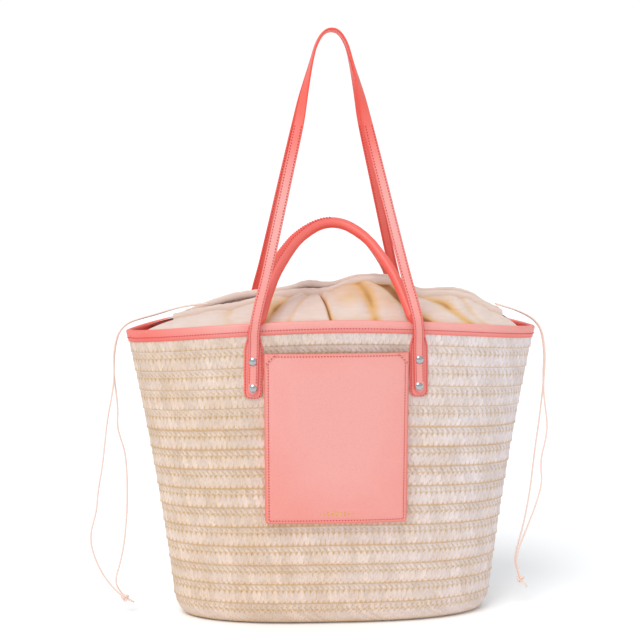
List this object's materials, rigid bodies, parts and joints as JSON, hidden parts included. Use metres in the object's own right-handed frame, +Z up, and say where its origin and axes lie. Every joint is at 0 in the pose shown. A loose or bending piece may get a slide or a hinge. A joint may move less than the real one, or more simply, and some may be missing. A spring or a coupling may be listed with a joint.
{
  "type": "beach bag",
  "caption": "Woven straw beach bag with a cotton drawstring collar, padded carry handles, long shoulder straps, a front slip pocket and hanging tie cords.",
  "frame": {"origin": "centre of the flat base", "axes": "+Z up, +Y to the back of the bag, +X to the right seen from the front"},
  "size_m": [0.5665, 0.2018, 0.7144],
  "materials": {
    "woven_straw": "braided straw, matt",
    "lining_cloth": "plain cotton",
    "coral_trim": "satin, fine grain",
    "strap_leather": "satin, fine grain",
    "pocket_leather": "satin, fine grain",
    "collar_cotton": "plain woven cotton",
    "cord_cotton": "twisted cord",
    "core_rope": "rope",
    "rivet_metal": "polished"
  },
  "bodies": {
    "bag": {"straw_wall": "woven_straw", "straw_base": "woven_straw", "liner": "lining_cloth", "rim_binding": "coral_trim", "pocket_panel": "pocket_leather", "pocket_hem": "pocket_leather", "pocket_corner_patches": "pocket_leather", "left_knot": "cord_cotton", "right_knot": "cord_cotton", "front_handle_tabs": "coral_trim", "front_strap_ends": "strap_leather", "front_rivet_caps": "rivet_metal", "front_rivet_studs": "rivet_metal", "front_backing_patches": "coral_trim", "back_handle_tabs": "coral_trim", "back_strap_ends": "strap_leather", "back_rivet_caps": "rivet_metal", "back_rivet_studs": "rivet_metal", "back_backing_patches": "coral_trim", "left_front_cord_tail": "cord_cotton", "left_back_cord_tail": "cord_cotton", "right_front_cord_tail": "cord_cotton", "right_back_cord_tail": "cord_cotton"},
    "front_strap": {"front_strap_loop": "strap_leather"},
    "front_handle": {"front_handle_cover": "coral_trim", "front_handle_core": "core_rope"},
    "front_collar": {"front_collar_panel": "collar_cotton", "front_collar_casing": "collar_cotton", "front_casing_cord": "cord_cotton", "left_front_cord_lead": "cord_cotton", "right_front_cord_lead": "cord_cotton"},
    "back_strap": {"back_strap_loop": "strap_leather"},
    "back_handle": {"back_handle_cover": "coral_trim", "back_handle_core": "core_rope"},
    "back_collar": {"back_collar_panel": "collar_cotton", "back_collar_casing": "collar_cotton", "back_casing_cord": "cord_cotton", "left_back_cord_lead": "cord_cotton", "right_back_cord_lead": "cord_cotton"}
  },
  "joints": [
    {"name": "front_strap_swing", "type": "hinge", "parent": "bag", "child": "front_strap", "pos_m": [0, -0.1022, 0.376], "axis": [1, 0, 0], "range_deg": [0, 160]},
    {"name": "front_handle_swing", "type": "hinge", "parent": "bag", "child": "front_handle", "pos_m": [0, -0.091, 0.3772], "axis": [1, 0, 0], "range_deg": [0, 18]},
    {"name": "back_strap_swing", "type": "hinge", "parent": "bag", "child": "back_strap", "pos_m": [0, 0.1022, 0.376], "axis": [-1, 0, 0], "range_deg": [0, 160]},
    {"name": "back_handle_swing", "type": "hinge", "parent": "bag", "child": "back_handle", "pos_m": [0, 0.091, 0.3772], "axis": [-1, 0, 0], "range_deg": [0, 18]},
    {"name": "front_collar_open", "type": "hinge", "parent": "bag", "child": "front_collar", "pos_m": [0, -0.082, 0.373], "axis": [1, 0, 0], "range_deg": [0, 20]},
    {"name": "back_collar_open", "type": "hinge", "parent": "bag", "child": "back_collar", "pos_m": [0, 0.082, 0.373], "axis": [1, 0, 0], "range_deg": [-20, 0]}
  ],
  "couplings": [
    {"joint": "back_collar_open", "follows": "front_collar_open", "ratio": -1}
  ]
}
